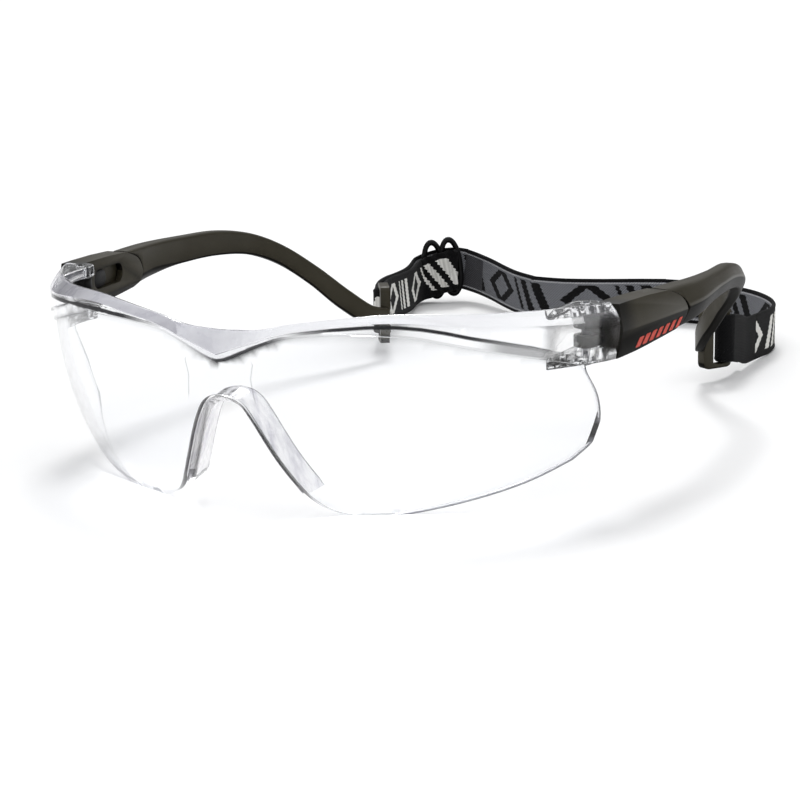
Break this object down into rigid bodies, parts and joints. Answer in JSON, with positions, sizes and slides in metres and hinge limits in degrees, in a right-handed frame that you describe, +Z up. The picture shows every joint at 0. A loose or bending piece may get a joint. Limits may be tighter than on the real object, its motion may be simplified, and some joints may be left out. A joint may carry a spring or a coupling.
{
  "type": "sports protective goggles",
  "caption": "Clear wrap-around protective goggles with folding, extending black temples and an elastic retainer strap.",
  "frame": {"origin": "middle of the resting footprint: under the centre of the bounding box, at the height of the lens feet", "axes": "+Z up with the lenses standing on Z = 0; the lenses face -Y and the strap is at +Y; +X is the wearer's left"},
  "size_m": [0.1514, 0.2678, 0.0459],
  "materials": {
    "clear_polycarbonate": "clear",
    "soft_clear": "clear satin",
    "satin_black": "satin",
    "black_plastic": "matte",
    "dark_steel": "dark",
    "webbing": "woven"
  },
  "bodies": {
    "root": {"clear_front": "clear_polycarbonate", "nose_saddle": "soft_clear", "hinge_pin_left": "dark_steel", "hinge_pin_right": "dark_steel", "strap_band_left": "webbing", "strap_band_right": "webbing"},
    "left_temple": {"hinge_knuckle_left": "black_plastic", "temple_sleeve_left": "satin_black", "strap_turn_left": "webbing"},
    "left_arm": {"temple_arm_left": "satin_black", "strap_loop_left": "webbing", "strap_return_left": "webbing"},
    "left_catch": {"length_catch_left": "black_plastic"},
    "slide": {"strap_slide": "black_plastic"},
    "right_temple": {"hinge_knuckle_right": "black_plastic", "temple_sleeve_right": "satin_black"},
    "right_arm": {"temple_arm_right": "satin_black", "strap_loop_right": "webbing"},
    "right_catch": {"length_catch_right": "black_plastic"}
  },
  "joints": [
    {"name": "left_fold", "type": "hinge", "parent": "root", "child": "left_temple", "pos_m": [-0.0646, -0.08461, 0.038], "axis": [0, 0, -1], "range_deg": [0, 49], "deforming": ["strap_band_left", "strap_turn_left", "strap_loop_left", "strap_return_left"]},
    {"name": "left_extend", "type": "slide", "parent": "left_temple", "child": "left_arm", "axis": [-0.0941, 0.9956, 0], "range_m": [0, 0.008], "deforming": ["strap_band_left", "strap_turn_left", "strap_loop_left", "strap_return_left"]},
    {"name": "left_catch_press", "type": "slide", "parent": "left_arm", "child": "left_catch", "axis": [-0.9956, -0.0941, 0], "range_m": [0, 0.0005], "stiffness_N_per_m": 1500},
    {"name": "right_fold", "type": "hinge", "parent": "root", "child": "right_temple", "pos_m": [0.0646, -0.08461, 0.038], "axis": [0, 0, 1], "range_deg": [0, 78], "deforming": ["strap_band_right", "strap_loop_right"]},
    {"name": "right_extend", "type": "slide", "parent": "right_temple", "child": "right_arm", "axis": [0.0941, 0.9956, 0], "range_m": [0, 0.008], "deforming": ["strap_band_right", "strap_loop_right"]},
    {"name": "right_catch_press", "type": "slide", "parent": "right_arm", "child": "right_catch", "axis": [0.9956, -0.0941, 0], "range_m": [0, 0.0005], "stiffness_N_per_m": 1500},
    {"name": "slide_adjust", "type": "slide", "parent": "left_arm", "child": "slide", "axis": [0.7912, 0.6115, 0], "range_m": [-0.003, 0.003], "deforming": ["strap_turn_left", "strap_loop_left", "strap_return_left"]}
  ]
}
